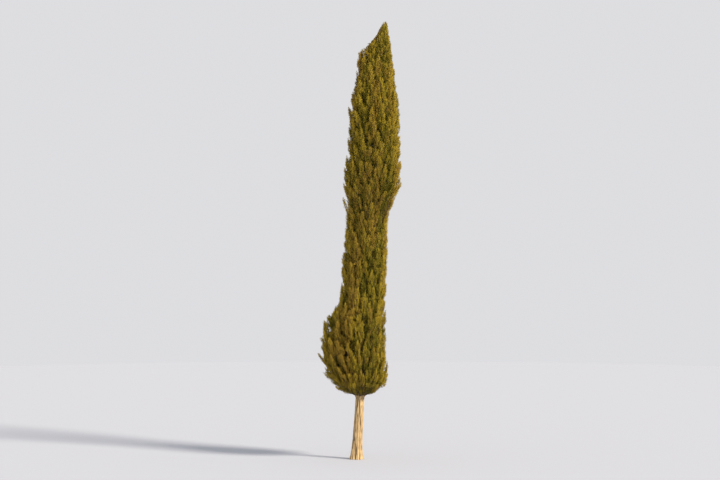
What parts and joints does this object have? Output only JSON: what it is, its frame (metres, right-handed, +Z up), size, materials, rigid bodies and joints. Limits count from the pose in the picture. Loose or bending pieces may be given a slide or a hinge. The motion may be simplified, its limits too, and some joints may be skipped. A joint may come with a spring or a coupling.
{
  "type": "pencil cypress tree",
  "caption": "Tall narrow evergreen with a cleared, slightly leaning stem, a flared root collar and a close column of upright foliage plumes that ends in a pointed leader.",
  "frame": {"origin": "middle of the flat cut under the trunk, at ground level", "axes": "+Z up the tree, +X to the right of the front view, +Y away from the viewer"},
  "size_m": [2.6839, 2.2675, 13.988],
  "materials": {
    "bark": "rough fibrous bark",
    "foliage": "matt scale leaves"
  },
  "bodies": {
    "root": {"trunk": "bark", "bough_1_1": "bark", "bough_1_2": "bark", "bough_1_3": "bark", "bough_1_4": "bark", "bough_1_5": "bark", "bough_2_1": "bark", "bough_2_2": "bark", "bough_2_3": "bark", "bough_2_4": "bark", "bough_2_5": "bark", "plume_1_1": "foliage", "plume_1_2": "foliage", "plume_1_3": "foliage", "plume_1_4": "foliage", "plume_1_5": "foliage", "plume_2_1": "foliage", "plume_2_2": "foliage", "plume_2_3": "foliage", "plume_2_4": "foliage", "plume_2_5": "foliage", "plume_3_1": "foliage", "plume_3_2": "foliage", "plume_3_3": "foliage", "plume_3_4": "foliage", "plume_3_5": "foliage", "plume_4_1": "foliage", "plume_4_2": "foliage", "plume_4_3": "foliage", "plume_4_4": "foliage", "plume_4_5": "foliage", "plume_5_1": "foliage", "plume_5_2": "foliage", "plume_5_3": "foliage", "plume_5_4": "foliage", "plume_5_5": "foliage", "plume_6_1": "foliage", "plume_6_2": "foliage", "plume_6_3": "foliage", "plume_6_4": "foliage", "plume_6_5": "foliage", "leader_plume": "foliage"}
  },
  "joints": []
}
